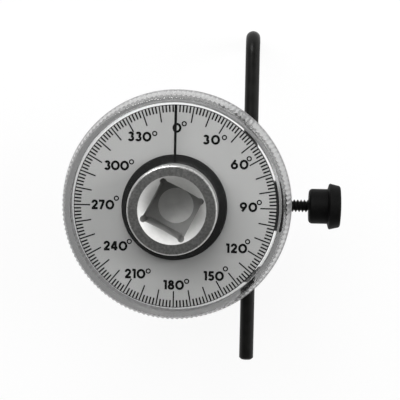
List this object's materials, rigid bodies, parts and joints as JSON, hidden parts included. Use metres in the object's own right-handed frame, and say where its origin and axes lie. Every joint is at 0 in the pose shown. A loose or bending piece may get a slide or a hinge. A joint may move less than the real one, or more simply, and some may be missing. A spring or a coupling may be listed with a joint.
{
  "type": "torque angle gauge",
  "caption": "Round torque angle gauge: a square drive spindle through a graduated dial under a clear fluted lens with a pointer line, held still by a bent rod clamped in a side arm.",
  "frame": {"origin": "on the drive axis, at the front face of the drive collar, where a wrench's square enters the socket", "axes": "+Z along the drive axis out of the socket, +Y towards the dial's zero and along the locating rod, +X along the clamp screw towards its knob"},
  "size_m": [0.0819, 0.0977, 0.0577],
  "materials": {
    "drive_chrome": "satin chromed steel",
    "ball_steel": "polished steel",
    "spring_steel": "spring steel",
    "lens_clear": "clear polished acrylic",
    "pointer_paint": "black paint",
    "ring_nylon": "black nylon",
    "washer_steel": "ground steel",
    "dial_silver": "satin silver with a printed black scale",
    "plate_black": "black painted die casting",
    "arm_black": "black coated steel",
    "bush_bronze": "sintered bronze",
    "retainer_black": "phosphated spring steel",
    "screw_steel": "zinc plated",
    "rod_black": "satin black oxide",
    "pad_brass": "turned brass",
    "stud_black": "black oxide thread",
    "knob_black": "moulded black plastic"
  },
  "bodies": {
    "spindle": {"drive_spindle": "drive_chrome", "friction_ring": "ring_nylon", "friction_spring": "spring_steel", "friction_clip": "spring_steel", "rear_washer": "washer_steel", "wave_washer": "spring_steel", "retaining_ring": "retainer_black", "detent_spring": "spring_steel"},
    "detent": {"detent_ball": "ball_steel"},
    "lens": {"clear_lens": "lens_clear", "pointer_line": "pointer_paint"},
    "housing": {"dial_plate": "dial_silver", "back_plate": "plate_black", "clamp_arm": "arm_black", "journal_bush": "bush_bronze", "front_washer": "washer_steel", "arm_screws": "screw_steel"},
    "rod": {"locating_rod": "rod_black"},
    "pad": {"clamp_pad": "pad_brass"},
    "screw": {"clamp_screw": "stud_black", "clamp_knob": "knob_black"}
  },
  "joints": [
    {"name": "dial_turn", "type": "hinge", "parent": "spindle", "child": "housing", "pos_m": [0, 0, 0], "axis": [0, 0, 1], "continuous": true},
    {"name": "lens_turn", "type": "hinge", "parent": "spindle", "child": "lens", "pos_m": [0, 0, 0], "axis": [0, 0, 1], "continuous": true},
    {"name": "detent_press", "type": "slide", "parent": "spindle", "child": "detent", "axis": [-0.454, -0.891, 0], "range_m": [-0.0009, 0], "stiffness_N_per_m": 6000, "springref_m": 0.0008, "deforming": ["detent_spring"]},
    {"name": "rod_slide", "type": "slide", "parent": "housing", "child": "rod", "axis": [0, 1, 0], "range_m": [-0.036, 0.038]},
    {"name": "pad_slide", "type": "slide", "parent": "housing", "child": "pad", "axis": [1, 0, 0], "range_m": [0, 0.004]},
    {"name": "screw_turn", "type": "hinge", "parent": "pad", "child": "screw", "pos_m": [0.038, 0, -0.0257], "axis": [1, 0, 0], "range_deg": [0, 1440]}
  ],
  "couplings": [
    {"joint": "screw_turn", "follows": "pad_slide", "rad_per_m": 6283.2}
  ]
}
